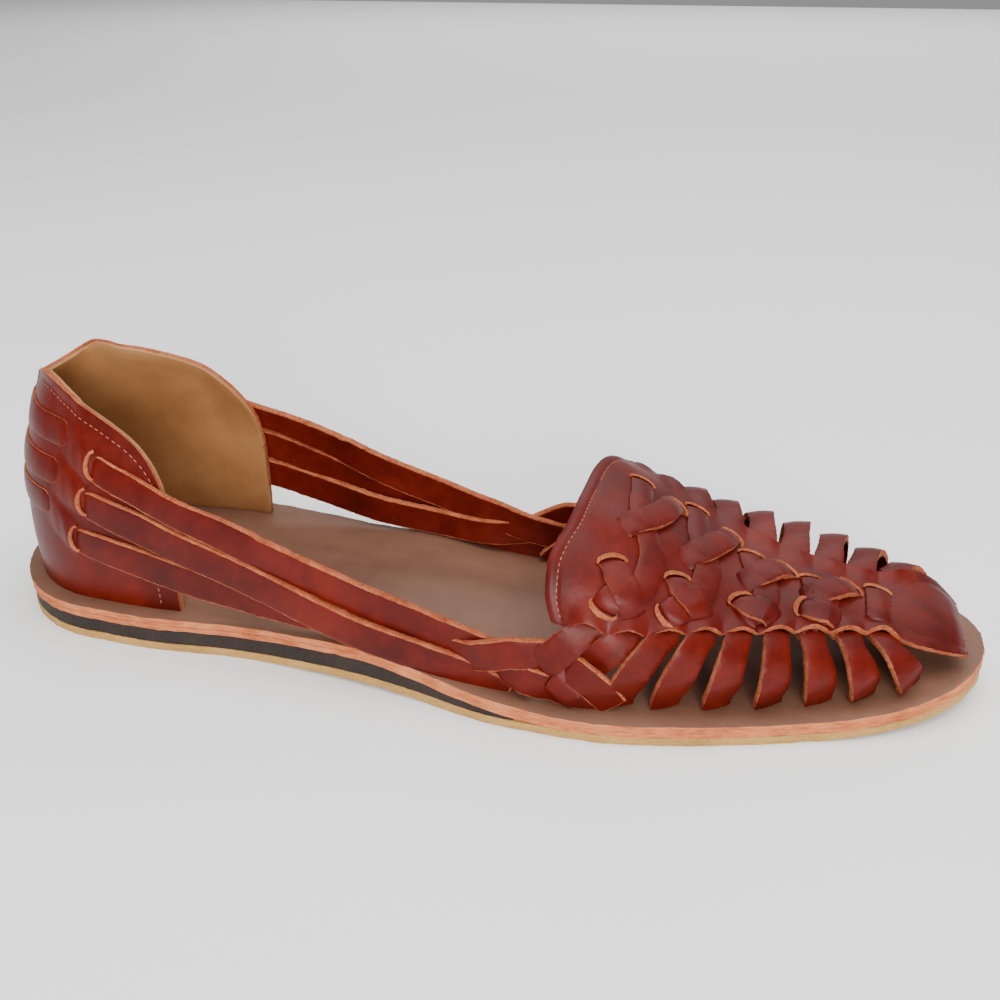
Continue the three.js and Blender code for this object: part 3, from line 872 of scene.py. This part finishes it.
# For each strap, its path on the plate: rows of station, across and height off the foot.
WEAVE = (
    ((170.0, -0.665, UNDER), (170.9, -0.625, 1.3), (172.6, -0.57, ON_PLATE), (176.4, -0.51, 1.7),
     (179.0, -0.41, ON_PLATE), (179.6, -0.28, ON_PLATE), (177.6, -0.16, 1.8),
     (174.6, -0.04, 1.7), (173.3, 0.06, 1.5), (172.8, 0.12, UNDER)),
    ((178.0, -0.65, UNDER), (177.2, -0.605, 1.6), (175.4, -0.53, ON_STRAP - 0.3),
     (172.9, -0.46, ON_STRAP - 0.6), (171.2, -0.4, 1.6), (170.4, -0.35, UNDER),
     (170.2, -0.27, UNDER), (170.8, -0.2, UNDER), (172.4, -0.155, 1.6),
     (175.4, -0.095, ON_STRAP), (179.2, -0.02, ON_STRAP), (182.2, 0.03, 1.9),
     (184.2, 0.06, UNDER)),
    ((184.0, -0.595, UNDER), (185.0, -0.555, 1.3), (186.8, -0.505, ON_PLATE), (189.8, -0.44, 1.7),
     (192.0, -0.33, ON_PLATE), (192.5, -0.21, ON_PLATE), (190.9, -0.09, 1.8),
     (188.6, 0.0, 1.7), (187.7, 0.06, 1.5), (187.4, 0.11, UNDER)),
    ((193.2, -0.53, UNDER), (192.3, -0.49, 1.6), (190.3, -0.435, ON_STRAP - 0.3),
     (187.6, -0.39, ON_STRAP - 0.6), (185.9, -0.33, 1.6), (185.3, -0.29, UNDER),
     (185.2, -0.24, UNDER), (185.8, -0.2, UNDER), (187.4, -0.165, 1.6),
     (190.2, -0.11, ON_STRAP), (193.6, -0.03, ON_STRAP), (196.8, 0.01, 1.9),
     (198.6, 0.03, UNDER)),
    ((201.4, -0.47, UNDER), (202.4, -0.435, 1.3), (203.9, -0.385, ON_PLATE), (205.9, -0.33, 1.7),
     (206.9, -0.25, ON_PLATE), (206.0, -0.17, ON_PLATE), (203.9, -0.09, 1.8),
     (202.7, -0.03, 1.6), (202.4, 0.02, UNDER)),
    ((210.2, -0.44, UNDER), (208.9, -0.41, 1.6), (206.5, -0.38, ON_STRAP - 0.3),
     (203.2, -0.36, ON_STRAP - 0.6), (201.0, -0.32, 1.6), (200.0, -0.29, UNDER),
     (199.6, -0.25, UNDER), (200.0, -0.21, UNDER), (201.6, -0.185, 1.6),
     (204.4, -0.14, ON_STRAP), (207.6, -0.085, ON_STRAP), (211.0, -0.05, 1.9),
     (212.8, -0.03, UNDER)),
    ((216.6, -0.4, UNDER), (217.6, -0.365, 1.3), (218.9, -0.325, ON_PLATE), (220.5, -0.27, 1.7),
     (220.8, -0.2, ON_PLATE), (219.4, -0.14, ON_PLATE), (218.0, -0.08, 1.7),
     (217.5, -0.03, UNDER)),
    ((225.2, -0.35, UNDER), (223.8, -0.335, 1.6), (221.3, -0.315, ON_STRAP - 0.3),
     (218.0, -0.305, ON_STRAP - 0.6), (215.8, -0.285, 1.6), (214.6, -0.27, UNDER),
     (214.2, -0.24, UNDER), (214.6, -0.215, UNDER), (216.6, -0.2, 1.6),
     (219.8, -0.16, ON_STRAP), (223.6, -0.1, ON_STRAP), (227.0, -0.055, 1.9),
     (228.8, -0.03, UNDER)),
    ((234.0, -0.28, UNDER), (234.0, -0.24, 1.5), (234.1, -0.18, ON_PLATE - 0.3),
     (234.1, -0.1, ON_PLATE - 0.3), (234.2, -0.03, 1.5), (234.2, 0.01, UNDER)),
)


def on_last(x, across, ahead, aside, out):
    """A point that far along two ways from (x, across) over the foot's surface."""
    along = (last_point(x + 0.1, across) - last_point(x - 0.1, across)) / 0.2
    around = (last_point(x, across + 0.002) - last_point(x, across - 0.002)) / 0.004
    move = ahead + aside
    a, b, c = along.dot(along), along.dot(around), around.dot(around)
    d, e = move.dot(along), move.dot(around)
    whole = a * c - b * b
    there = (x + (d * c - e * b) / whole, across + (e * a - d * b) / whole)
    return over_last(*there, out)


def across_at(x, height, side):
    """The across value at which the foot's surface stands at a height above the ground."""
    low, high = 0.0, 1.0
    for _ in range(30):
        middle = (low + high) / 2
        if last_point(x, side * middle).z > height:
            low = middle
        else:
            high = middle
    return side * low


# The first two straps plait with the side straps: station, height, height off it, width.
BRAIDED = (
    ((146.5, 7.4, -0.9, 7.4), (149.5, 9.8, -0.7, 7.8), (152.5, 12.0, -0.2, 8.0),
     (156, 15.0, 0.8, 8.0), (159.5, 19.0, 2.4, 8.0), (163, 22.8, 2.2, 7.8)),
    ((160.5, 6.4, -0.4, 7.4), (162.2, 9.4, 2.0, 7.8), (163.8, 12.4, 2.3, 8.0),
     (166.6, 15.2, 0.4, 8.0), (169.5, 18.6, 0.2, 8.0), (173, 22.4, 1.5, 7.8)),
)


def strap_leg(number, side, top, foot, share):
    """Rows of one leg from its foot up: station, across, height off the foot, width, bow."""
    if number <= 2:
        return [(x, across_at(x, height, side), proud, width, 0.2)
                for x, height, proud, width in BRAIDED[number - 1]]
    rows = []
    for t, proud, width in ((0, -2.0, 7.4), (0.07, -0.5, 8.0), (0.16, 0.8, 8.2), (0.32, 1.8, 8.0),
                            (0.55, 2.0, 7.4), (0.8, 1.2, 6.6)):
        drop = 1 - (1 - share) * t
        rows.append((foot + (top - foot) * t, side * drop, proud, width, 0.35))
    return rows


for number, (row, woven) in enumerate(zip(CROSS_STRAPS, WEAVE), 1):
    outer_top, outer_foot, inner_top, inner_foot = row
    outer_share = lateral_share(outer_top)
    inner_share = medial_share(inner_top)
    # Rows of station, across, height off the foot, width and bow.
    rows = strap_leg(number, -1, outer_top, outer_foot, outer_share)
    rows.append((outer_top, -outer_share, 0.1, 6.4, 0.3))
    entry = outer_top + (woven[0][0] - outer_top) * 0.5
    rows.append((entry, -outer_share + 0.045, UNDER, 6.2, 0.2))
    for x, across, proud in woven:
        width, bow = (6.8, 0.25) if proud > 1.9 else (6.2, 0.6)
        rows.append((x, across, proud, width, bow))
    leaving = inner_top + (woven[-1][0] - inner_top) * 0.3
    rows.append((leaving, inner_share - 0.03, UNDER, 7.0, 0.2))
    rows.append((inner_top, inner_share + 0.02, 0.0, 7.6, 0.25))
    rows.extend(reversed(strap_leg(number, 1, inner_top, inner_foot, inner_share)))

    at = [0.0]
    for before, after in zip(rows, rows[1:]):
        step = over_last(*after[:3]) - over_last(*before[:3])
        at.append(at[-1] + max(step.length, 0.4))
    curves = [track(*[(at[i], rows[i][c]) for i in range(len(rows))]) for c in range(5)]

    def cross_station(u):
        x, across, proud, width, bow = [curve(at[-1] * u) for curve in curves]
        facing = last_normal(x, across)
        middle = over_last(x, across, proud)
        # Each leg is turned a little about its own length, so that one cut edge stands up.
        past = abs(across) - (outer_share if across < 0 else inner_share)
        turn = STRAP_TWIST * min(max(past / 0.16, 0.0), 1.0) * (1 if across < 0 else -1)
        if number > 2:
            facing = (facing + Vector((turn, 0, 0))).normalized()
        return middle, facing, width, bow

    strap_between(f"cross_strap_{number}", along=360, point=cross_station, thick=STRAP_THICK)

    # A lip stands round each slot that the strap goes down, and on the first and third
    # straps round each one that it comes up through.
    lips = 0
    for i in range(1, len(woven)):
        rising = woven[i - 1][2] < 0 < woven[i][2]
        falling = woven[i - 1][2] > 0 > woven[i][2]
        if not rising and not falling:
            continue
        low, high = (woven[i - 1], woven[i]) if rising else (woven[i], woven[i - 1])
        x = low[0] + (high[0] - low[0]) * 0.75
        across = low[1] + (high[1] - low[1]) * 0.75
        outward = last_point(low[0], low[1]) - last_point(high[0], high[1])
        up = last_normal(x, across)
        ahead = (outward - up * outward.dot(up)).normalized()
        aside = up.cross(ahead)
        if rising and number not in (1, 3):
            continue
        lips += 1

        def lip_shape(angle, v, x=x, across=across, ahead=ahead, aside=aside):
            reach = math.cos(angle) * (1.0 + 1.1 * v)
            spread = math.sin(angle) * (3.1 + 0.6 * v)
            lift = 0.75 * (1 - v) ** 1.3 * math.cos(angle) ** 0.5
            return on_last(x, across, ahead * (reach - 0.3), aside * -spread, 1.0 + lift)
        slot_lip(f"slot_lip_{number}_{lips}", lip_shape)


# ---- floor, lights and camera -------------------------------------------------------------
# A pale floor that isn't part of the sandal, three large soft lights and a gentle fill.
pale, surface, place = new_finish("pale_floor", 0.2)
tone = place.grain(2.0)
colour = tone.ramp((0.0, (0.86, 0.86, 0.86)), (1.0, (0.9, 0.9, 0.9)))
dress(surface, colour, tone * 0.05 + 0.85, tone, 0.01)
bpy.ops.object.select_all(action="DESELECT")
bpy.ops.mesh.primitive_plane_add(size=6, location=(0, 0, 0))
floor = bpy.context.object
floor.name = "floor"
floor.data.materials.append(pale)

world = bpy.data.worlds.new("studio")
bpy.context.scene.world = world
world.use_nodes = True
world.node_tree.nodes["Background"].inputs["Color"].default_value = (1.0, 1.0, 1.0, 1.0)
world.node_tree.nodes["Background"].inputs["Strength"].default_value = 0.3


def soft_light(name, at, aim, size, power):
    bpy.ops.object.light_add(type="AREA", location=at)
    lamp = bpy.context.object
    lamp.name = name
    lamp.data.shape = "RECTANGLE"
    lamp.data.size = size[0]
    lamp.data.size_y = size[1]
    lamp.data.energy = power
    lamp.rotation_euler = (Vector(aim) - Vector(at)).to_track_quat("-Z", "Y").to_euler()


soft_light("key_light", at=(0.34, -0.95, 0.36), aim=(0.02, 0, 0.02), size=(0.5, 0.32), power=14)
soft_light("top_light", at=(0.1, -0.1, 1.15), aim=(0, 0, 0), size=(1.5, 1.2), power=24)
soft_light("floor_light", at=(0, 2.1, 1.4), aim=(0, 2.1, 0), size=(2.4, 1.2), power=34)

YAW = 0.2376
PITCH = 0.4693
level = math.cos(PITCH)
look = Vector((-math.sin(YAW) * level, math.cos(YAW) * level, -math.sin(PITCH)))
bpy.ops.object.camera_add(location=(0.06802, -0.25174, 0.16952))
camera = bpy.context.object
camera.rotation_euler = look.to_track_quat("-Z", "Y").to_euler()
camera.data.sensor_width = 36
camera.data.lens = 40.21
camera.data.clip_start = 0.01
bpy.context.scene.camera = camera
